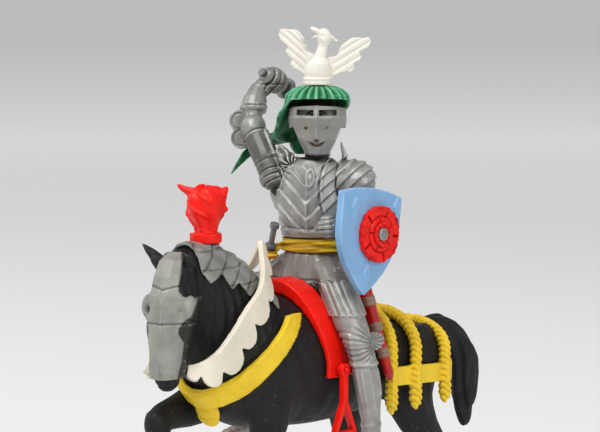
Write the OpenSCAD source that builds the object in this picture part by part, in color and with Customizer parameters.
// Mounted knight: a plug-together painted miniature, about 1:32.
// The horse faces -Y, its left flank is +X and the ground is Z = 0.
// Shapes are drawn about the rider's upright axis, then moved to the middle of the outline.

/* [Horse] */
// Width of the barrel at its widest
horse_w = 16.8; // [15.8:0.1:18]
// Clear height under the belly
belly_z = 26.5; // [25:0.5:30]
// Radius of a hoof's sole
hoof_r = 2.4; // [2:0.1:2.8]
// Height of a hoof
hoof_h = 2.6; // [2.2:0.1:3.2]
// Radius of the peg that the neck turns on
neck_peg_r = 2.4; // [1.6:0.1:3]
// Length of the neck peg
neck_peg_l = 5; // [3:0.5:7]

/* [Horse trim] */
// Thickness of the face and neck plates
plate_t = 0.45; // [0.3:0.05:0.7]
// Height of the plume above its seat
plume_h = 8; // [6:0.5:11]
// Radius of the plume's foot
plume_foot_r = 2.2; // [1.8:0.1:2.6]
// Radius of the plume's peg
plume_peg_r = 0.9; // [0.6:0.05:1.2]
// Thickness of the reins
rein_t = 0.8; // [0.5:0.1:1.2]
// Width of the breast collar
collar_w = 2.8; // [2:0.1:3.2]
// Thickness of the breast collar
collar_t = 0.9; // [0.6:0.1:1.3]
// Width of the breeching strap
breech_w = 2.7; // [2:0.1:3.2]
// Thickness of the harness straps
harness_t = 0.8; // [0.5:0.1:1.1]
// Diameter of the harness cords
cord_d = 1.7; // [1.2:0.1:2]

/* [Saddle] */
// Thickness of the saddle's flaps
saddle_t = 0.6; // [0.4:0.05:0.8]
// Width of the saddle bow
bow_w = 3.6; // [2.8:0.1:4]
// Thickness of the saddle bow on the flank
bow_t = 1.2; // [0.8:0.1:1.5]
// Height of the cantle above the seat
cantle_h = 2.7; // [1.5:0.1:4]
// Drop from the stirrup's pin to its tread
stirrup_drop = 9.6; // [8:0.2:10]
// Width of the stirrup at its tread
stirrup_w = 4.8; // [3.6:0.1:5.2]
// Thickness of the stirrup
stirrup_t = 0.9; // [0.6:0.1:1.1]

/* [Rider] */
// Radius of the peg that the body turns on
waist_peg_r = 2.2; // [1.6:0.1:2.6]
// Height of the belt
belt_h = 1.8; // [1.4:0.1:2.2]
// Radius of the shoulder pegs
shoulder_peg_r = 1.1; // [0.8:0.05:1.4]
// Radius of the shoulder plates
pauldron_r = 2.9; // [2.5:0.1:3]
// Length of the dagger
dagger_l = 6.9; // [5:0.1:8]
// Length of the scabbard
scabbard_l = 20; // [15:0.5:21]
// Half width of the scabbard
scabbard_r = 1.2; // [0.8:0.05:1.3]

/* [Arms and head] */
// Length of the sword's blade
blade_l = 14; // [12:0.5:20]
// Width of the sword's blade
blade_w = 1.6; // [1:0.1:2]
// Radius of the sword's grip
grip_r = 0.45; // [0.35:0.05:0.6]
// Width of the shield
shield_w = 12.6; // [10:0.2:14]
// Height of the shield
shield_h = 15; // [12:0.5:16]
// Thickness of the shield
shield_t = 1.1; // [0.8:0.1:1.5]
// Radius of the peg that carries the shield
shield_peg_r = 0.9; // [0.6:0.05:1.2]
// Radius of the rose
rose_r = 4; // [3:0.1:4.6]
// Thickness of the rose
rose_t = 1; // [0.7:0.1:1.4]
// Half width of the helmet
helmet_r = 3.45; // [3.2:0.05:3.6]
// Thickness of the visor
visor_t = 0.45; // [0.3:0.05:0.55]
// Thickness of the mantling
mantling_t = 0.45; // [0.35:0.05:0.6]
// Span of the crest's wings
crest_span = 15.4; // [11:0.2:16]
// Height of the crest above its ring
crest_h = 7.2; // [5.5:0.2:9]
// Radius of the crest's ring
crest_ring_r = 2.1; // [1.8:0.1:2.5]

/* [Fits] */
// Clearance of a peg in its bore
fit = 0.06; // [0.03:0.01:0.09]
// Gap between trim and what it sits on
seat = 0.1; // [0.06:0.01:0.15]

/* [Hidden] */
$fn = 40;

// Middle of the outline, from the rider's axis
middle = [-0.03, 1.11];
// Belly height at which the rows below are drawn
drawn_belly = 26.5;
raise = belly_z - drawn_belly;
drawn_half_w = 8.4;
wide = horse_w / 2 / drawn_half_w;

// Vectors and lofts
function unit(v) = v / norm(v);
function xyz(r) = [r[0], r[1], r[2]];
function total(v) = v * [for (x = v) 1];
function spline(a, b, c, d, t) =
    0.5 * (2 * b + (c - a) * t + (2 * a - 5 * b + 4 * c - d) * t * t
        + (3 * b - a - 3 * c + d) * t * t * t);
function smooth(rows, k) =
    let (n = len(rows))
    concat(
        [for (i = [0 : n - 2], j = [0 : k - 1])
            spline(rows[max(i - 1, 0)], rows[i], rows[i + 1], rows[min(i + 2, n - 1)], j / k)],
        [rows[n - 1]]);
function heading(rows, i) =
    unit(xyz(rows[min(i + 1, len(rows) - 1)]) - xyz(rows[max(i - 1, 0)]));
function ring(row, d, side, off, sides) =
    let (s = unit(side - d * (side * d)), u = cross(d, s))
    [for (j = [0 : sides - 1])
        let (a = 360 * j / sides)
        xyz(row) + s * (row[3] + off) * cos(a) + u * (row[4] + off) * sin(a)];
function turned(rows, sx) = [for (r = rows) [r[0] * sx, r[1], r[2], r[3], r[4]]];

// A closed skin over rings of points, turned right side out
module skin(rings, closed = false) {
    n = len(rings[0]);
    m = len(rings);
    points = [for (r = rings) each r];
    walls = [for (i = [0 : m - (closed ? 1 : 2)], j = [0 : n - 1])
        let (k = (i + 1) % m, a = i * n + j, b = i * n + (j + 1) % n, c = k * n + j, d = k * n + (j + 1) % n)
        each [[a, c, d], [a, d, b]]];
    caps = closed ? [] : [[for (j = [0 : n - 1]) j], [for (j = [n - 1 : -1 : 0]) (m - 1) * n + j]];
    faces = concat(walls, caps);
    volume = total([for (f = faces, k = [1 : len(f) - 2])
        points[f[0]] * cross(points[f[k]], points[f[k + 1]])]);
    polyhedron(points, volume > 0 ? [for (f = faces) [for (k = [len(f) - 1 : -1 : 0]) f[k]]] : faces);
}

// A limb over rows of [x, y, z, half width, half depth]
module loft(rows, side = [1, 0, 0], off = 0, sides = 14) {
    skin([for (i = [0 : len(rows) - 1]) ring(rows[i], heading(rows, i), side, off, sides)]);
}

// A flat strap over points that each have an outward direction
module strap(path, outward, w, t) {
    skin([for (i = [0 : len(path) - 1])
        let (b = unit(cross(heading(path, i), outward[i])) * (is_list(w) ? w[i] : w) / 2,
            h = outward[i] * (is_list(t) ? t[i] : t))
        [path[i] - b, path[i] + b, path[i] + b + h, path[i] - b + h]]);
}

// Several shapes as one skin
module fused() {
    resize([0, 0, 0]) union() children();
}

module both_sides() {
    children();
    mirror([1, 0, 0]) children();
}

// A side outline in Y and Z, as a slab through the figure
module side_slab(outline, depth = 60) {
    rotate([90, 0, 90]) linear_extrude(depth, center = true) polygon(outline);
}

// Frames
module placed() {
    translate([-middle[0], -middle[1], raise]) children();
}
neck_at = [0, -17.9, 40.6];
neck_lean = 43;
module on_seam() {
    translate(neck_at) rotate([neck_lean, 0, 0]) children();
}
horse_head_at = [0, -27.6, 51];
horse_head_yaw = 20;
module horse_head_frame() {
    translate(horse_head_at) rotate([0, 0, horse_head_yaw]) children();
}
torso_yaw = 27;
module torso_frame() {
    rotate([0, 0, torso_yaw]) children();
}
head_at = [0.5, 0.4, 0];
head_yaw = 37;
module head_frame() {
    translate(head_at) rotate([0, 0, head_yaw]) children();
}

// Horse: barrel rows are [y, top, bottom, half width]
barrel_sides = 28;
barrel_rows = smooth([
    [-23.6, 36.8, 33, 2.2], [-21.4, 40.4, 30, 5.2], [-17.5, 44.4, 28, 7.3], [-13, 46, 27.2, 7.9],
    [-8, 45.6, 26.8, 8.1], [-3, 44, 26.5, 8.4], [3, 43, 26.6, 8.4], [9, 41.8, 27.3, 8.2],
    [14, 40.5, 28.4, 7.9], [19, 39.5, 29.2, 7.9], [23, 37.8, 30.4, 6.7], [25.6, 35.6, 31.8, 4.6],
    [26.6, 34.6, 33, 2.4]], 2);
function barrel(y, column) = lookup(y, [for (r = barrel_rows) [r[0], r[column]]]);
function barrel_half(y) = barrel(y, 3) * wide;
function barrel_point(y, a, off = 0) =
    let (top = barrel(y, 1), low = barrel(y, 2))
    [(barrel_half(y) + off) * cos(a), y, (top + low) / 2 + ((top - low) / 2 + off) * sin(a)];
function barrel_outward(y, a) =
    let (h = (barrel(y, 1) - barrel(y, 2)) / 2)
    unit([h * cos(a), 0, barrel_half(y) * sin(a)]);
module barrel_solid(off = 0) {
    skin([for (r = barrel_rows)
        [for (j = [0 : barrel_sides - 1]) barrel_point(r[0], 360 * j / barrel_sides, off)]]);
}

// Leg rows stretch between the ground and the belly
function leg(rows) = [for (r = rows)
    [r[0] * wide, r[1], r[2] < drawn_belly ? r[2] * belly_z / drawn_belly - raise : r[2], r[3], r[4]]];
fore_left = [[4.6, -14.5, 38, 2.2, 4], [4.7, -14.9, 34.5, 2.7, 4.5], [4.8, -15, 30.5, 2.6, 3.7],
    [4.3, -15.3, 26, 2.1, 2.7], [3.7, -15.6, 21.5, 1.7, 2], [3.1, -15.9, 17.5, 1.75, 1.95],
    [2.8, -15.7, 14, 1.25, 1.45], [2.4, -15.6, 10, 1.1, 1.25], [2.1, -15.5, 5.6, 1.4, 1.55],
    [1.95, -15.9, 3.6, 1.3, 1.4], [1.9, -16.3, 1.2, 1.8, 1.9]];
fore_right = [[-4.6, -14.5, 37, 2.2, 4], [-4.8, -16.5, 33.5, 2.7, 4.2], [-5, -19.5, 31, 2.3, 3.3],
    [-5.1, -23.5, 30.2, 1.9, 2.4], [-5.05, -26.4, 29.8, 1.8, 2], [-5, -28, 29.4, 1.3, 1.4]];
shin_right = [[-5, -27.4, 30.6, 1.4, 1.4], [-5, -27.3, 29, 1.85, 1.9], [-4.95, -26.8, 26.6, 1.5, 1.6],
    [-4.9, -25.6, 23.6, 1.15, 1.3], [-4.9, -24.3, 20.7, 1.4, 1.5], [-4.9, -23.3, 19, 1.3, 1.3],
    [-4.9, -22.6, 17.6, 1.8, 1.9], [-4.9, -21.9, 15.6, 2.2, 2.3]];
hind_left = [[4, 16.5, 38.6, 2.2, 4.5], [4.4, 16.6, 36, 3.1, 6.4], [4.7, 16.2, 31.5, 3, 6],
    [5.2, 16.4, 27.5, 2.5, 4.4], [5.9, 18.6, 23.3, 1.9, 3], [6.4, 22.2, 19.3, 1.45, 2],
    [6.7, 24.3, 16.4, 1.4, 1.9], [6.9, 23.9, 13, 1.15, 1.4], [7.05, 23, 8.5, 1.05, 1.2],
    [7.1, 22.4, 5.2, 1.35, 1.5], [7.15, 21.6, 3.4, 1.3, 1.4], [7.2, 21.2, 1.2, 1.8, 1.9]];
hind_right = [[-4, 16.5, 38.6, 2.2, 4.5], [-4.4, 16.4, 36, 3.1, 6.4], [-4.7, 15.4, 31.5, 3, 6],
    [-5.2, 14.6, 27.5, 2.5, 4.4], [-5.9, 15.2, 23.3, 1.9, 3], [-6.4, 17.2, 19.3, 1.45, 2],
    [-6.7, 18.6, 16.4, 1.4, 1.9], [-6.9, 17.8, 13, 1.15, 1.4], [-7.05, 16.6, 8.5, 1.05, 1.2],
    [-7.1, 15.9, 5.2, 1.35, 1.5], [-7.15, 15.1, 3.4, 1.3, 1.4], [-7.2, 14.7, 1.2, 1.8, 1.9]];
hooves = [[1.9, -16.5], [7.2, 21], [-7.2, 14.5]];
tail = [[0, 23, 36.2, 1.4, 1.4], [0, 26, 37.4, 1.6, 1.5], [0.2, 29.5, 37.2, 1.9, 1.8],
    [0.5, 33, 35, 2.3, 1.9], [0.8, 35.2, 31.4, 2.5, 2], [0.9, 35.4, 27.5, 2.2, 1.8],
    [1, 35.2, 24, 1.5, 1.3], [1, 35.7, 20.8, 0.3, 0.3]];

module horse_body() {
    ahead = 30;
    color("#1d1d1f") placed() union() {
        fused() {
            difference() {
                barrel_solid();
                on_seam() translate([-ahead / 2, -ahead / 2, 0]) cube(ahead);
            }
            for (rows = [fore_left, fore_right, hind_left, hind_right]) loft(smooth(leg(rows), 2));
            loft(smooth(shin_right, 2));
            loft(smooth(tail, 2));
        }
        on_seam() translate([0, 0, -2]) cylinder(r = neck_peg_r, h = neck_peg_l + 2);
        for (p = hooves)
            translate([p[0] * wide, p[1], -raise]) cylinder(r1 = hoof_r, r2 = hoof_r * 0.8, h = hoof_h);
    }
}

// Neck and head
neck_rows = smooth([[0, -15.6, 37.5, 7.5, 9.3], [0, -17.6, 40.2, 7.2, 9], [0, -19.6, 43.2, 5.6, 7.8],
    [0, -21.8, 46.4, 4.35, 6.8], [0, -24.3, 48.8, 3.5, 5.1], [0, -26.8, 49.8, 3.1, 4.1],
    [0, -28.6, 49.4, 2.2, 3]], 2);
head_rows = smooth([[0, 1.4, 1.4, 1.6, 1.4], [0, -1.2, -0.9, 2.7, 3.4], [0, -3, -4.6, 3.1, 3.7],
    [0, -4, -8.2, 2.5, 3], [0, -4.6, -11.4, 2, 2.4], [0, -5, -13.8, 1.9, 2.2],
    [0, -5.2, -15.4, 1.4, 1.5], [0, -5.2, -16.1, 0.6, 0.6]], 2);
near_ear_rows = [[1.3, -1.5, -0.8, 1.1, 0.9], [1.9, -2.2, 0.4, 1.2, 0.95], [2.3, -3, 1.4, 0.85, 0.6],
    [2.5, -3.6, 2.2, 0.1, 0.1]];
ear_rows = [[1.3, -1.5, -0.8, 1.1, 0.9], [2.3, -1.9, 0.6, 1.35, 1], [3.6, -2, 2, 1, 0.65],
    [5, -1.9, 3.2, 0.1, 0.1]];
plume_at = [0, -22.8, 53.8];

module neck_solid(off = 0) {
    loft(neck_rows, off = off, sides = 20);
}
module face_solid(off = 0) {
    horse_head_frame() loft(head_rows, off = off, sides = 18);
}
module ears(off = 0) {
    horse_head_frame() {
        loft(smooth(near_ear_rows, 2), side = [0, 1, 0], off = off, sides = 8);
        mirror([1, 0, 0]) loft(smooth(ear_rows, 2), side = [0, 1, 0], off = off, sides = 8);
    }
}
module plume_bore() {
    translate(plume_at - [0, 0, 3]) cylinder(r = plume_peg_r + fit, h = 6);
}
module behind_seam() {
    back = 30;
    on_seam() translate([-back / 2, -back / 2, seat - back]) cube(back);
}

module horse_head() {
    color("#222224") placed() difference() {
        fused() difference() {
            union() {
                neck_solid();
                face_solid();
                ears();
            }
            behind_seam();
        }
        on_seam() translate([0, 0, -1]) cylinder(r = neck_peg_r + fit, h = neck_peg_l + 1 + seat);
        plume_bore();
    }
}

chamfron_outline = [[-2, 2.2], [-2, -2.6], [-1.7, -3.4], [-0.7, -3.8], [-0.6, -6],
    [-1.2, -7.4], [-2.6, -8.8], [-2.4, -11.6], [-3.2, -14], [-10, -14.6], [-10, 3.4]];
chamfron_half = [[1.6, 3], [1.9, -2.6], [2.4, -3.3], [3.9, -4.1], [4, -7.6], [3, -9], [2.8, -15]];
chamfron_front = concat(chamfron_half,
    [for (i = [len(chamfron_half) - 1 : -1 : 0]) [-chamfron_half[i][0], chamfron_half[i][1]]]);
module chamfron() {
    eye = [2.9, -4.2, -5];
    ridge = [for (r = head_rows) if (r[2] > -14 && r[2] < -1)
        [0, r[1] - r[4] - plate_t, r[2] + 0.4, 0.3, 0.35]];
    color("#9a9a98") placed() fused() difference() {
        union() {
            intersection() {
                face_solid(seat + plate_t);
                horse_head_frame() side_slab(chamfron_outline);
                horse_head_frame() rotate([90, 0, 0])
                    linear_extrude(30, center = true) polygon(chamfron_front);
            }
            horse_head_frame() {
                both_sides() translate(eye) scale([0.95, 1.6, 1.7]) sphere(1, $fn = 20);
                loft(ridge, sides = 8);
            }
        }
        face_solid(seat);
        ears(seat);
    }
}

dags = [[-27.4, 50.6], [-25.8, 48.8], [-23.6, 50], [-22.3, 47.8], [-20.7, 48.6], [-19.3, 46.6], [-17.5, 47.4],
    [-16.4, 45.2], [-14.7, 46], [-13.6, 43.6], [-11.8, 44.6], [-9, 43], [-9, 60], [-27.4, 60]];
module crinet() {
    seat_r = plume_foot_r - 0.3;
    color("#a3a3a0") placed() difference() {
        fused() difference() {
            union() {
                intersection() {
                    neck_solid(seat + plate_t);
                    side_slab(dags);
                }
                translate(plume_at - [0, 0, 2]) cylinder(r = seat_r, h = 2, $fn = 24);
            }
            neck_solid(seat);
            face_solid(seat + plate_t + seat);
            behind_seam();
        }
        plume_bore();
        translate(plume_at) cylinder(r = plume_foot_r + seat, h = 3);
    }
}

module horse_plume() {
    foot_h = 1.3;
    lift = plume_h / 8;
    stem = 1.6;
    head_half = 2.6;
    bunch = [[0.1, 0, foot_h * 0.5, stem, stem], [0.15, 0, 2.2, stem, stem], [0.05, 0, 3.2, 2.2, 2],
        [0, 0, 4.2, head_half, 2.4], [0, 0, 5.6, head_half, 2.4], [0, 0, 6.7, 2.3, 2.1],
        [-0.1, 0, 7.4, 1.7, 1.5], [-0.1, 0, 7.7, 0.6, 0.5]];
    horn = [[-0.6, 0, 6.6, 0.9, 1], [-2, 0, 6.9, 0.8, 0.8], [-3.1, 0, 7.3, 0.6, 0.6],
        [-3.7, 0, 7.8, 0.35, 0.35], [-3.8, 0, 8, 0.1, 0.1]];
    curl = [[1.4, 0, 6.3, 0.9, 0.9], [2.3, 0, 6.8, 0.6, 0.6], [2.9, 0, 7.5, 0.12, 0.12]];
    nub = [[1.8, 0, 4.6, 0.8, 0.8], [2.7, 0, 4.5, 0.45, 0.45], [3, 0, 4.4, 0.1, 0.1]];
    color("#ee2a14") placed() translate(plume_at + [0, 0, seat]) union() {
        translate([0, 0, -2.6]) cylinder(r = plume_peg_r, h = 3.6);
        cylinder(r = plume_foot_r, h = foot_h);
        fused() rotate([0, 0, head_yaw]) scale([1, 1, lift]) {
            loft(smooth(bunch, 2), sides = 16);
            for (rows = [horn, curl, nub]) loft(smooth(rows, 2), side = [0, 1, 0], sides = 8);
        }
    }
}

// Reins: points of the left half, each with its width; scallops run along the lower edge
rein_points = [[0, -11.4, 53.2, 0.7], [1.3, -12.4, 51.6, 1.5], [3.5, -14.4, 49.2, 2.4], [6.2, -17.9, 46.6, 3],
    [6.7, -21.3, 43.8, 3.5], [6.6, -23.9, 40.8, 4], [5.8, -26.6, 38, 3.8], [4.6, -29, 37.4, 2.4],
    [3.2, -30.4, 37.6, 1.2]];
far_rein_points = concat([rein_points[0]],
    [[1.6, -12, 49.4, 1.4], [4.1, -14.2, 46.8, 2.3], [6.4, -17.7, 45.6, 3]],
    [for (i = [4 : len(rein_points) - 1]) rein_points[i]]);
rein_steps = 6;
module rein(points) {
    rows = smooth(points, rein_steps);
    scallop = 0.26;
    function across(i) = unit(cross(heading(rows, i), [1, 0.25, 0.2]));
    function lower(i) = rows[i][3] * (0.5 - scallop + scallop * 2 * sqrt(abs(sin(180 * i / rein_steps))));
    skin([for (i = [0 : len(rows) - 1])
        let (p = xyz(rows[i]), b = across(i), out = unit(cross(b, heading(rows, i))) * rein_t / 2)
        [p + b * rows[i][3] / 2 - out, p - b * lower(i) - out,
            p - b * lower(i) + out, p + b * rows[i][3] / 2 + out]]);
}
module reins() {
    color("#e8e2d2") placed() fused() difference() {
        union() {
            rein(rein_points);
            mirror([1, 0, 0]) rein(far_rein_points);
        }
        neck_solid(seat + plate_t + seat);
        face_solid(seat + plate_t + seat);
    }
}

// Breast collar: found on the barrel, in a plane parallel to the seam
collar_back = collar_w / 2 + 0.2;
collar_top = 43.4;
function seam_point(r, a) =
    neck_at - [0, -sin(neck_lean), cos(neck_lean)] * collar_back
        + [r * cos(a), r * sin(a) * cos(neck_lean), r * sin(a) * sin(neck_lean)];
function outside(p) =
    let (top = barrel(p[1], 1), low = barrel(p[1], 2))
    pow(p[0] / barrel_half(p[1]), 2) + pow((p[2] - (top + low) / 2) / ((top - low) / 2), 2) > 1;
function reach(a, near = 3, far = 13, k = 14) =
    k == 0 ? far : let (mid = (near + far) / 2)
        outside(seam_point(mid, a)) ? reach(a, near, mid, k - 1) : reach(a, mid, far, k - 1);
module peytral() {
    steps = 30;
    lobe = [0, -22.6, 30.9];
    lobe_w = 4.2;
    lobe_h = 4.8;
    half = [0, -sin(neck_lean), cos(neck_lean)] * collar_w / 2;
    function rim(a, off) = seam_point(reach(a) + off, a);
    color("#f2cb1c") placed() fused() difference() {
        union() {
            skin([for (i = [0 : steps - 1])
                let (a = 360 * i / steps, low = rim(a, seat * 3), high = rim(a, seat * 3 + collar_t))
                [low - half, low + half, high + half, high - half]], closed = true);
            translate(lobe) rotate([20, 0, 0]) scale([lobe_w / 2, 0.75, lobe_h / 2]) sphere(1, $fn = 24);
            translate(lobe + [0, 0, lobe_h * 0.3]) rotate([25, 0, 0])
                cube([lobe_w * 0.6, 1.1, 3], center = true);
        }
        barrel_solid(seat);
        for (rows = [fore_left, fore_right]) loft(smooth(leg(rows), 2), off = seat);
        translate([-15, -30, collar_top]) cube(30);
    }
}

// Hind harness: a back strap, cords over the rump and a breeching strap on each flank
cord_at = [6.4, 12.5, 20];
cord_tip_z = 27.5;
cord_angles = [90, 76, 61, 46, 31, 17, 4];
breech_y = [6.4, 9, 12, 15, 18, 21, 23.4, 25.4];
function breech_z(y) = 32.9 - 0.06 * (y - 6);
function cord_rows(y) =
    let (r = cord_d / 2, edge = barrel_half(y) + seat + r)
    concat(
        [for (a = cord_angles) let (p = barrel_point(y + 2.5 * sin(a), a, seat + r)) [p[0], p[1], p[2], r, r]],
        [[edge + 0.1, y, 32.4, r, r], [edge + 0.1, y, cord_tip_z + 1.8, r * 1.1, r * 1.1],
            [edge + 0.1, y, cord_tip_z + 0.8, r * 0.9, r * 0.9], [edge + 0.1, y, cord_tip_z, 0.1, 0.1]]);
module crupper() {
    back_y = [for (y = [8 : 2.5 : 23]) y];
    back_w = 2;
    color("#f2cb1c") placed() fused() difference() {
        union() {
            strap([for (y = back_y) barrel_point(y, 90, seat)], [for (y = back_y) [0, 0, 1]],
                back_w, harness_t);
            both_sides() {
                for (y = cord_at) loft(cord_rows(y), side = [0, 1, 0], sides = 8);
                strap([for (y = breech_y) [barrel_half(y) + seat, y, breech_z(y)]],
                    [for (y = breech_y) unit([1, y > 20 ? 0.35 : 0, 0])], breech_w, harness_t);
            }
        }
        barrel_solid(seat);
        for (rows = [hind_left, hind_right]) loft(smooth(leg(rows), 2), off = seat);
    }
}

// Saddle
saddle_outline = [[-6.2, 52], [-6.6, 46.5], [-7.6, 44], [-7, 39], [-6, 34.9], [-1, 34], [2.4, 36], [3.2, 40],
    [6.4, 43], [7.6, 52]];
bow_angles = [for (i = [0 : 16]) -9 + i * 198 / 16];
bow_front = -6.9;
function bow_y(a) = bow_front + 1.5 * pow(cos(a), 4);
function bow_wide(a) = bow_w * (1 + 0.15 * max(0, sin(a)));
pommel_rise = 1.3;
stirrup_pin_r = 0.4;
stirrup_x = horse_w / 2 + seat + saddle_t + 0.3;
stirrup_at = [0, -5.1, 35.4];
seat_top = 45.5;
cantle_y = 6.2;
module saddle_form(grow = 0) {
    intersection() {
        barrel_solid(seat + saddle_t + grow);
        side_slab(saddle_outline);
    }
    strap([for (a = bow_angles) barrel_point(bow_y(a), a, seat)],
        [for (a = bow_angles) barrel_outward(bow_y(a), a)], [for (a = bow_angles) bow_wide(a) + 2 * grow],
        [for (a = bow_angles)
            bow_t * (0.55 + 0.45 * max(0, sin(a))) + pommel_rise * pow(max(0, sin(a)), 4) + grow]);
    translate([0, cantle_y, seat_top - 1.5]) rotate([90, 0, 0])
        linear_extrude(12.2) scale([3.8 + grow, 1.5 + grow]) circle(1, $fn = 32);
}
module saddle() {
    color("#df1710") placed() union() {
        fused() difference() {
            union() {
                saddle_form();
                translate([0, cantle_y + 1, seat_top - 2]) rotate([90, 0, 0])
                    linear_extrude(1.2) scale([5.2, cantle_h + 2]) circle(1, $fn = 32);
            }
            barrel_solid(seat);
        }
        for (s = [-1, 1]) translate(stirrup_at + [s * (stirrup_x - 0.6), 0, 0])
            rotate([0, s * 90, 0]) cylinder(r = stirrup_pin_r, h = stirrup_t + 0.9);
    }
}

module stirrup(s) {
    eye_r = stirrup_pin_r + 0.5;
    bow_h = stirrup_drop - 4.4;
    rod = 0.95;
    thin = 0.8;
    color("#df1710") placed() translate(stirrup_at + [s * stirrup_x - (s < 0 ? stirrup_t : 0), 0, 0])
        rotate([90, 0, 90]) difference() {
            union() {
                cylinder(r = eye_r, h = stirrup_t);
                translate([-rod / 2, bow_h - stirrup_drop - 0.3, 0])
                    cube([rod, stirrup_drop - bow_h + 0.3, stirrup_t]);
                linear_extrude(stirrup_t)
                    polygon([[-rod / 2, bow_h - stirrup_drop], [rod / 2, bow_h - stirrup_drop],
                    [stirrup_w / 2, thin - stirrup_drop], [stirrup_w / 2 - 0.5, -stirrup_drop],
                    [0.5 - stirrup_w / 2, -stirrup_drop], [-stirrup_w / 2, thin - stirrup_drop]]);
            }
            translate([0, 0, -1]) cylinder(r = stirrup_pin_r + fit, h = stirrup_t + 2);
            translate([0, 0, -1]) linear_extrude(stirrup_t + 2) polygon([[0, bow_h - stirrup_drop - 0.9],
                [stirrup_w / 2 - thin, thin - stirrup_drop + 0.2],
                [thin - stirrup_w / 2, thin - stirrup_drop + 0.2]]);
        }
}
module stirrup_left() {
    stirrup(1);
}
module stirrup_right() {
    stirrup(-1);
}

// Rider: the inner side of each leg clears the saddle all the way up
waist_z = 51.1;
waist_peg_l = 4.6;
leg_in = horse_w / 2 + seat + saddle_t + 0.3;
hip_rows = [[0, 0, waist_z, 4.3, 3.6], [0, 0, 49.6, 4.9, 4], [0, 0, 47.8, 5.7, 4.5], [0, 0, 46.4, 6.1, 4.7],
    [0, 0.2, 45.7, 4.2, 3.6]];
leg_rows = [[3.4, -0.6, 48.2, 2.4, 3], [6.2, -2, 46.1, 2.3, 2.9], [leg_in - 0.7, -3, 42.8, 2.3, 2.7],
    [leg_in + 1, -3.3, 40.2, 2.05, 2.3], [leg_in + 1.6, -2.9, 38, 1.85, 2.1],
    [leg_in + 1.75, -2, 35.5, 1.7, 2.05],
    [leg_in + 1.7, -1.1, 32, 1.65, 2], [leg_in + 1.6, -0.6, 29, 1.4, 1.6], [leg_in + 1.6, -0.4, 27, 1.3, 1.5],
    [leg_in + 1.6, -0.4, 24.6, 1.35, 1.7]];
foot_rows = [[leg_in + 1.5, 1.4, 24.6, 0.5, 0.5], [leg_in + 1.5, 1, 24.6, 1.1, 1],
    [leg_in + 1.75, -1, 24.7, 1.3, 1.2], [leg_in + 2.2, -3.4, 24.2, 1.2, 0.9],
    [leg_in + 2.65, -5.6, 23.9, 0.85, 0.6], [leg_in + 2.8, -6.5, 23.8, 0.2, 0.2]];
poleyn = [leg_in + 1.5, 0.2, 38.9];

module rider_legs() {
    color("#8d8e8e") placed() union() {
        fused() difference() {
            union() {
                loft(smooth(hip_rows, 2), sides = 20);
                both_sides() {
                    loft(smooth(leg_rows, 2));
                    loft(smooth(foot_rows, 2), sides = 12);
                    translate(poleyn) rotate([0, 90, 0]) scale([1.4, 2.2, 1])
                        cylinder(r = 1, h = 1.2, center = true, $fn = 20);
                }
            }
            saddle_form(seat);
        }
        translate([0, 0, waist_z - 2]) cylinder(r = waist_peg_r, h = waist_peg_l + 2);
    }
}

// Belt, with a loop for the dagger and a stud for the scabbard
belt_z = waist_z + 0.05;
dagger_top = [-2.61, -5.28, 55.16];
dagger_dir = unit([2.7, -1.05, 7.2]);
dagger_guard = 3.7;
dagger_guard_r = 0.8;
scabbard_top = [5.1, 2.7, belt_z + belt_h / 2];
scabbard_out = unit([0.88, 0.47, 0]);
scabbard_dir = unit([5.1, 1.9, -18.7]);
stud_r = 0.5;
module along(p, d) {
    translate(p) rotate([0, acos(d[2]), atan2(d[1], d[0])]) children();
}
module belt() {
    loop_at = dagger_top - dagger_dir * (dagger_guard + 0.9);
    loop_in = 0.75;
    color("#e9c21a") placed() difference() {
        union() {
            fused() {
                loft([[0, 0, belt_z, 4.75, 4.05], [0, 0, belt_z + belt_h, 4.75, 4.05]], sides = 28);
                strap([[-3.2, -2.8, belt_z + 0.3], [-4, -3.5, belt_z + 0.1], loop_at + [0.8, 0.8, 0.3]],
                    [[0, 0, 1], [0, 0, 1], [0, 0, 1]], 1.1, 0.8);
                along(loop_at - dagger_dir * 0.5, dagger_dir) cylinder(r = loop_in + 0.5, h = 1, $fn = 24);
            }
            along(scabbard_top - scabbard_out * 2, scabbard_out) cylinder(r = stud_r, h = 3.6);
        }
        translate([0, 0, belt_z - 1]) cylinder(r = waist_peg_r + fit, h = belt_h + 2);
        along(loop_at - dagger_dir * 1.5, dagger_dir) cylinder(r = loop_in, h = 3);
        along(loop_at + dagger_dir * 0.5, dagger_dir) cylinder(r = dagger_guard_r + seat, h = 2);
    }
}

module dagger() {
    handle_r = 0.42;
    color("#77787a") placed() along(dagger_top, -dagger_dir) union() {
        cylinder(r = handle_r, h = dagger_guard);
        cylinder(r = handle_r + 0.25, h = 0.7);
        translate([0, 0, dagger_guard - 0.4]) cylinder(r = dagger_guard_r, h = 0.5);
        translate([0, 0, dagger_guard]) cylinder(r1 = 0.58, r2 = 0.3, h = dagger_l - dagger_guard);
    }
}

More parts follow.
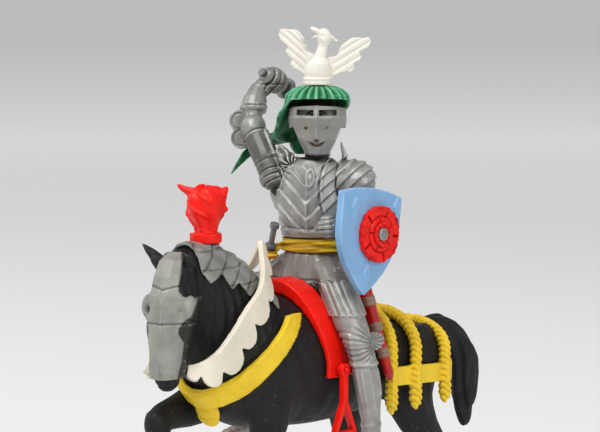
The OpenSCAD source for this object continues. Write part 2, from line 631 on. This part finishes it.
scabbard_bands = [1.6, 5, 8.4, 12.2, 16];
module scabbard() {
    thin = 0.7;
    band = 0.12;
    band_w = 0.7;
    function taper(s) = 1 - 0.3 * s / scabbard_l;
    function wide_at(s) = scabbard_r * taper(s);
    bevel = 0.1;
    stations = concat([0.2, 0.9],
        [for (b = scabbard_bands) if (b < scabbard_l - 1.5)
            each [b - band_w, b - band_w + bevel, b + band_w - bevel, b + band_w]],
        [scabbard_l - 0.9, scabbard_l]);
    function is_band(s) = len([for (b = scabbard_bands) if (abs(b - s) < band_w - 0.02) 1]) > 0;
    rows = [for (s = stations)
        let (p = scabbard_dir * s, w = s > scabbard_l - 0.5 ? 0.3 : wide_at(s) + (is_band(s) ? band : 0))
        [p[0], p[1], p[2], w, w * thin]];
    color("#7d1712") placed() difference() {
        union() {
            translate(scabbard_top) fused()
                loft(rows, side = [-scabbard_out[1], scabbard_out[0], 0], sides = 12);
            along(scabbard_top - scabbard_out * 0.6, scabbard_out) cylinder(r = stud_r + 0.5, h = 1.2);
        }
        along(scabbard_top - scabbard_out * 3, scabbard_out) cylinder(r = stud_r + fit, h = 6);
    }
}

// Body, in its own frame
chest_z = belt_z + belt_h + 0.1;
shoulder = [6.1, 0, 61.3];
shoulder_face = 3.8;
raised_r = 1.75;
neck_z = 64.3;
neck_bore = 1.3;
torso_rows = [[0, 0, chest_z, 4.5, 3.7], [0, 0, 55, 4.8, 4.1], [0, -0.1, 57, 5.1, 4.5], [0, -0.1, 59, 5.1, 4.4],
    [0, 0, 61, 5, 3.9], [0, 0.1, 63, 4.2, 3.2], [0, 0.1, neck_z, 2.8, 2.5]];
function shoulder_r(s) = s > 0 ? pauldron_r : raised_r;
module shoulder_axis(s) {
    translate([0, shoulder[1], shoulder[2]]) rotate([0, s * 90, 0]) children();
}
module torso() {
    color("#8f9090") placed() torso_frame() difference() {
        union() {
            fused() difference() {
                union() {
                    loft(smooth(torso_rows, 2), sides = 24);
                    translate([-4.4, 1.5, 59.2]) scale([2.2, 2, 3.1]) sphere(1, $fn = 24);
                }
                for (s = [-1, 1]) shoulder_axis(s) translate([0, 0, shoulder_face])
                    cylinder(r = shoulder_r(s) + 0.3, h = 5, $fn = 28);
            }
            for (s = [-1, 1]) shoulder_axis(s) cylinder(r = shoulder_peg_r, h = shoulder_face + 2.4);
        }
        translate([0, 0, chest_z - 1])
            cylinder(r = waist_peg_r + fit, h = waist_z + waist_peg_l + 0.2 - chest_z + 1);
        rotate([0, 0, -torso_yaw]) translate(head_at + [0, 0, neck_z - 2.6])
            cylinder(r = neck_bore + fit, h = 4);
    }
}

module pauldron(s) {
    r = shoulder_r(s);
    inner = shoulder_face + seat;
    translate([s * shoulder[0], shoulder[1], shoulder[2]]) intersection() {
        scale([1.05, 1, 1]) sphere(r, $fn = 24);
        translate([s * (inner - shoulder[0] + 5), 0, 0]) cube(10, center = true);
    }
    shoulder_axis(s) translate([0, 0, inner]) cylinder(r = r * 0.9, h = shoulder[0] - inner, $fn = 24);
}
module shoulder_bore(s) {
    shoulder_axis(s) cylinder(r = shoulder_peg_r + fit, h = shoulder_face + 2.4 + seat);
}

right_elbow = [-9.6, 3.2, 68.5];
fist = [-7.45, 7.1, 75.1];
sword_dir = unit([0.46, 0.763, -0.45]);
fist_r = 1.8;
fist_l = 2.3;
module right_arm() {
    upper = [[-6, 0.1, 61.6, 1.75, 1.75], [-7.2, 1.1, 64.2, 1.95, 1.95], [-8.8, 2.5, 67, 1.85, 1.85],
        [right_elbow[0], right_elbow[1], right_elbow[2], 1.3, 1.3]];
    lower = [[right_elbow[0], right_elbow[1], right_elbow[2], 1.3, 1.3], [-9.8, 4, 70.4, 1.35, 1.35],
        [-9.85, 4.3, 70.9, 2, 2], [-9.7, 5, 72.2, 1.8, 1.8], [-9.4, 5.9, 73.7, 1.35, 1.35],
        [fist[0], fist[1], fist[2], 1.2, 1.2]];
    fan = [[-2.07, 0.5, 0.8], [-1.85, 0.6, -1.7]];
    facing = 13;
    color("#85868a") placed() torso_frame() difference() {
        fused() {
            pauldron(-1);
            loft(smooth(upper, 2));
            translate(right_elbow) sphere(1.9, $fn = 20);
            for (p = fan) translate(right_elbow + p) rotate([0, 0, facing]) rotate([90, 0, 0])
                cylinder(r = 1.6, h = 0.8, center = true, $fn = 20);
            loft(lower);
            along(fist, sword_dir) scale([fist_r, fist_r, fist_l]) sphere(1, $fn = 20);
        }
        shoulder_bore(-1);
        along(fist - sword_dir * 4, sword_dir) cylinder(r = grip_r + fit, h = 8);
    }
}

module sword() {
    guard_at = fist_l + 0.4;
    guard_r = 1.6;
    guard_t = 0.7;
    pommel_r = 0.62;
    half = blade_w / 2;
    blade_t = 0.45;
    rows = [[0, 0, guard_at, half, blade_t], [0, 0, guard_at + blade_l * 0.75, half * 0.8, blade_t * 0.8],
        [0, 0, guard_at + blade_l * 0.93, half * 0.5, blade_t * 0.6], [0, 0, guard_at + blade_l, 0.06, 0.06]];
    color("#8b8c90") placed() torso_frame() along(fist, sword_dir) union() {
        translate([0, 0, -fist_l - 0.5]) cylinder(r = grip_r, h = fist_l + guard_at + 1);
        translate([0, 0, -fist_l - 0.6]) cylinder(r = pommel_r, h = 0.5);
        translate([0, 0, guard_at - 0.25]) cylinder(r = guard_r, h = guard_t, $fn = 24);
        fused() loft(rows, sides = 4);
    }
}

// Shield arm: the peg runs square to the forearm, through the shield and the rose
left_elbow = [9.25, -1.46, 54.4];
left_hand = [4.6, -8.8, 55.4];
peg_out = unit([0.875, -0.485, 0]);
peg_at = [8, -4.6, 54.2];
forearm_r = 1.6;
shield_in = forearm_r + 0.15;
peg_l = shield_in + shield_t + rose_t + 0.4;
module left_arm() {
    upper = [[6.3, -0.1, 60.8, 1.7, 1.7], [7.4, -0.6, 58.6, 1.7, 1.7], [8.6, -1.2, 56, 1.5, 1.5],
        [left_elbow[0], left_elbow[1], left_elbow[2], 1.3, 1.3]];
    lower = [[left_elbow[0], left_elbow[1], left_elbow[2], 1.3, 1.3], [8.2, -4, 54.3, 1.5, 1.5],
        [6.9, -6.6, 54.4, 1.35, 1.35], [left_hand[0], left_hand[1], left_hand[2], 1.2, 1.2]];
    haute = [[4.9, 0.4, 62.6, 0.7, 0.35], [4.5, 0.5, 64.6, 0.45, 0.3], [4.1, 0.6, 66, 0.25, 0.2],
        [3.95, 0.6, 66.8, 0.06, 0.06]];
    color("#85868a") placed() torso_frame() difference() {
        union() {
            fused() {
                pauldron(1);
                loft(smooth(upper, 2));
                translate(left_elbow) sphere(1.55, $fn = 20);
                loft(smooth(lower, 2));
                translate(left_hand) sphere(1.7, $fn = 20);
                loft(smooth(haute, 2), sides = 8);
            }
            along(peg_at, peg_out) cylinder(r = shield_peg_r, h = peg_l);
        }
        shoulder_bore(1);
    }
}

// Shield: a heater drawn about its peg, X across and Y up, the front edge at -X
shield_tilt = -8;
shield_top = 6.3;
shield_shift = -1.5;
module on_peg(out) {
    along(peg_at, peg_out) translate([0, 0, out]) rotate([0, 0, 90]) rotate([0, 0, shield_tilt]) children();
}
module heater(w, h) {
    sides = 10;
    curve = [for (i = [0 : sides])
        let (t = i / sides)
        [w / 2 * (1 - pow(t, 2.1)), shield_top - 0.9 - 0.3 * h - t * (0.7 * h - 0.9)]];
    arch = [for (i = [0 : 8])
        let (t = i / 8)
        [w / 2 * (1 - 2 * t), shield_top - 0.9 + 0.9 * (1 - pow(2 * t - 1, 2))]];
    polygon(concat(arch, [for (p = curve) [-p[0], p[1]]], [for (i = [sides - 1 : -1 : 0]) curve[i]]));
}
module shield() {
    lozenge = [0.85, 1.5];
    proud = 0.25;
    color("#7fb0da") placed() torso_frame() on_peg(shield_in) difference() {
        translate([shield_shift, 0, 0]) {
            linear_extrude(shield_t) heater(shield_w, shield_h);
            for (p = [[-3.6, 3.3], [5.3, 4], [0.2, -5.6]]) translate([p[0], p[1], shield_t - 0.1])
                linear_extrude(proud + 0.1)
                    polygon([[-lozenge[0], 0], [0, -lozenge[1]], [lozenge[0], 0], [0, lozenge[1]]]);
        }
        translate([0, 0, -1]) cylinder(r = shield_peg_r + fit, h = shield_t + 2);
    }
}
module rose_boss() {
    petals = 5;
    color("#e8220f") placed() torso_frame() on_peg(shield_in + shield_t + 0.08) difference() {
        union() {
            for (i = [0 : petals - 1]) rotate([0, 0, 360 * i / petals])
                translate([rose_r * 0.58, 0, 0]) cylinder(r = rose_r * 0.42, h = rose_t * 0.7);
            cylinder(r = rose_r * 0.86, h = rose_t * 0.7);
            cylinder(r = rose_r * 0.42, h = rose_t);
        }
        translate([0, 0, -1]) cylinder(r = shield_peg_r + fit, h = rose_t + 2);
    }
}

// Head: helmet, visor, mantling and crest, in the head's frame
deep = helmet_r * 0.955;
visor_z = 69.7;
helmet_top = 73.5;
post_r = 0.8;
cap_top = helmet_top + 1.15;
crest_z = cap_top + seat;
post_top = crest_z + 0.85;
visor_pin_r = 0.4;
ear_gap = 0.12;
helmet_rows = [[0, 0, neck_z + 0.2, 1.8, 1.9], [0, -0.1, 65.4, 1.95, 2.2],
    [0, -0.1, 66.3, helmet_r - 1, deep - 0.7],
    [0, 0, visor_z - 1.8, helmet_r - 0.35, deep - 0.25], [0, 0, visor_z - 0.5, helmet_r, deep],
    [0, 0, visor_z + 0.8, helmet_r - 0.05, deep - 0.05],
    [0, 0, 71.8, helmet_r - 0.85, deep - 0.8], [0, 0, 72.8, helmet_r - 1.5, deep - 1.4],
    [0, 0, helmet_top - 0.1, 1.2, 1.2],
    [0, 0, helmet_top, 0.4, 0.4]];
module head() {
    color("#8a8b8d") placed() head_frame() difference() {
        union() {
            fused() difference() {
                loft(smooth(helmet_rows, 2), sides = 24);
                translate([0, -deep - 0.5, 68.6]) scale([2.4, 1.4, 2.9]) sphere(1, $fn = 24);
            }
            translate([0, 0, neck_z - 2.4]) cylinder(r = neck_bore, h = 4.5);
            translate([0, 0, helmet_top - 1]) cylinder(r = post_r, h = post_top - helmet_top + 1);
            for (s = [-1, 1]) translate([0, 0, visor_z]) rotate([0, s * 90, 0])
                cylinder(r = visor_pin_r, h = helmet_r + ear_gap + visor_t + 0.15);
            fused() intersection() {
                translate([0, -1.4, 68.2]) scale([2, 1.6, 2.6]) sphere(1, $fn = 20);
                loft(smooth(helmet_rows, 2), sides = 24, off = -0.1);
            }
        }
    }
}

module visor() {
    in_r = helmet_r + ear_gap;
    keel = 0.35;
    top = 71.95;
    side_drop = 0.6;
    chin = 66.5;
    cheek = 67.4;
    ear_low = visor_z - 0.9;
    ear_r = 1.1;
    fan = [for (i = [0 : 18]) -90 + i * 10];
    function front(a, z) =
        in_r + 0.12 - (z > visor_z ? 0.25 * pow((z - visor_z) / 3, 2) : 0.24 * (visor_z - z));
    function lowest(a) = abs(a) > 55 ? ear_low : mix(chin, cheek, abs(a) / 55);
    function highest(a) = top - side_drop * pow(abs(a) / 90, 2);
    function mix(a, b, t) = a + (b - a) * t;
    function column(a, off) = [for (k = [0 : 5])
        let (z = mix(lowest(a), highest(a), k / 5), r = front(a, z) + off + (off > 0 && abs(a) < 5 ? keel : 0))
        [r * sin(a), -r * cos(a), z]];
    slot_z = 70.5;
    slot_h = 0.8;
    slot_w = 2.8;
    color("#b4b5b4") placed() head_frame() difference() {
        fused() difference() {
            union() {
                skin([for (a = fan)
                    let (o = column(a, visor_t), n = column(a, 0)) concat(o, [for (k = [5 : -1 : 0]) n[k]])]);
                translate([0, -in_r - visor_t * 0.6, top - 0.2]) cube([0.55, 0.4, 0.6], center = true);
                for (s = [-1, 1]) translate([s * (in_r + visor_t / 2), 0, visor_z]) rotate([0, 90, 0])
                    cylinder(r = ear_r, h = visor_t, center = true, $fn = 24);
            }
            for (s = [-1, 1]) rotate([0, 0, s * 25]) translate([-slot_w / 2, -in_r - 2, slot_z])
                cube([slot_w, 3, slot_h]);
            loft(smooth(helmet_rows, 2), sides = 24, off = ear_gap * 0.8);
        }
        translate([-in_r - 2, 0, visor_z]) rotate([0, 90, 0])
            cylinder(r = visor_pin_r + fit, h = 2 * in_r + 4);
    }
}

// Mantling: a cap with a curtain behind and to the right, and one long streamer
curtain_z = [[0, 72.9], [50, 72.8], [90, 72.4], [120, 70], [150, 67.2], [180, 66], [215, 66], [245, 66.6],
    [265, 67.4], [285, 70.4], [305, 72.7], [360, 72.9]];
curtain_r = [[0, 4.7], [60, 4.65], [90, 4.7], [120, 4.9], [150, 5.2], [180, 5.8], [230, 6.8], [262, 6.8],
    [285, 5.6], [305, 4.9], [360, 4.75]];
module mantling() {
    steps = 36;
    cap = [[1.2, cap_top], [2.5, cap_top - 0.15], [3.6, cap_top - 0.7], [4.35, cap_top - 1.35]];
    pleat = 0.12;
    function hem(f) = [lookup(f, curtain_r), lookup(f, curtain_z)];
    function profile(f, off) =
        let (last = cap[3], h = hem(f), fold = pleat * (off > 0 ? cos(f * steps / 4) : 0))
        let (inset = mantling_t - off)
        concat([for (p = cap) [p[0] + (p[0] > 2 ? fold - inset : 0), p[1] - inset]],
            [for (t = [0.4, 0.75, 1])
                [last[0] + (h[0] - last[0]) * t * t - inset + fold, last[1] + (h[1] - last[1]) * t]]);
    function spun(f, p) = [p[0] * sin(f), -p[0] * cos(f), p[1]];
    streamer = [[-3.6, 3.4, 67.2, 0.9, 0.25], [-6, 6.4, 66.9, 1.1, 0.3], [-8.6, 8, 66, 1, 0.3],
        [-11, 7.4, 64.2, 0.8, 0.3], [-12.9, 6, 61.6, 0.2, 0.15]];
    color("#1f8a48") placed() head_frame() difference() {
        fused() {
            skin([for (i = [0 : steps - 1])
                let (f = 360 * i / steps)
                concat([for (p = profile(f, mantling_t)) spun(f, p)],
                    [for (k = [6 : -1 : 0]) spun(f, profile(f, 0)[k])])], closed = true);
            loft(smooth(streamer, 2), side = [0, 0, 1], sides = 8);
        }
        translate([0, 0, helmet_top]) cylinder(r = post_r + fit, h = 4);
    }
}

module crest() {
    ring_h = 1;
    base = crest_z + ring_h;
    tall = crest_h / 7.2;
    drawn_half = 8.1;
    broad = crest_span / 2 / drawn_half;
    wing = [[0.8, 0], [2.2, 0.1], [3.6, 0.7], [5, 0.8], [5.6, 1.4], [5.3, 2], [6.3, 2.5], [6.6, 3.1],
        [6.1, 3.6],
        [7.6, 4.4], [8.1, 5.2], [7.6, 5.7], [5, 5.6], [3.6, 4.6], [2.8, 3.1], [1.2, 2.7]];
    bird = [[0, 0, -0.1, 1.8, 1.6], [0, -0.1, 0.8, 1.9, 1.7], [0.2, -0.2, 2, 1.6, 1.5],
        [0.5, -0.2, 3.4, 1.2, 1.15], [0.9, 0, 4.8, 1, 1], [1, -0.1, 5.8, 1.05, 1],
        [0.8, -0.1, 6.6, 0.75, 0.75], [0.7, -0.1, 7, 0.2, 0.2]];
    beak = [[0.5, -0.2, 6.2, 0.6, 0.55], [-0.2, -0.3, 6.7, 0.5, 0.4], [-0.8, -0.3, 7, 0.35, 0.3],
        [-1, -0.3, 7.1, 0.1, 0.1]];
    jaw = [[0.5, -0.2, 5.8, 0.45, 0.4], [-0.3, -0.3, 5.8, 0.25, 0.2], [-0.8, -0.3, 5.6, 0.06, 0.06]];
    tuft = [[1.3, -0.1, 6, 0.5, 0.45], [2.2, 0, 5.6, 0.35, 0.3], [2.9, 0, 5.1, 0.08, 0.08]];
    swept = 40;
    wing_t = 1.1;
    color("#efe9d8") placed() head_frame() difference() {
        union() {
            translate([0, 0, crest_z]) cylinder(r = crest_ring_r, h = ring_h);
            fused() translate([0, 0, base]) scale([1, 1, tall]) {
                loft(smooth(bird, 2), sides = 16);
                for (rows = [beak, jaw, tuft]) loft(smooth(rows, 2), side = [0, 1, 0], sides = 8);
                for (left = [false, true]) mirror([left ? 1 : 0, 0, 0]) rotate([0, 0, left ? swept : 0])
                    scale([broad, 1, left ? 1.2 : 1]) translate([0, 0.5, 0]) rotate([90, 0, 0])
                        linear_extrude(wing_t, center = true) polygon(wing);
            }
        }
        translate([0, 0, crest_z - 1]) cylinder(r = post_r + fit, h = post_top + 0.2 - crest_z + 1);
    }
}

horse_body();
horse_head();
chamfron();
crinet();
horse_plume();
reins();
peytral();
crupper();
saddle();
stirrup_left();
stirrup_right();
rider_legs();
belt();
dagger();
scabbard();
torso();
right_arm();
left_arm();
sword();
shield();
rose_boss();
head();
visor();
mantling();
crest();
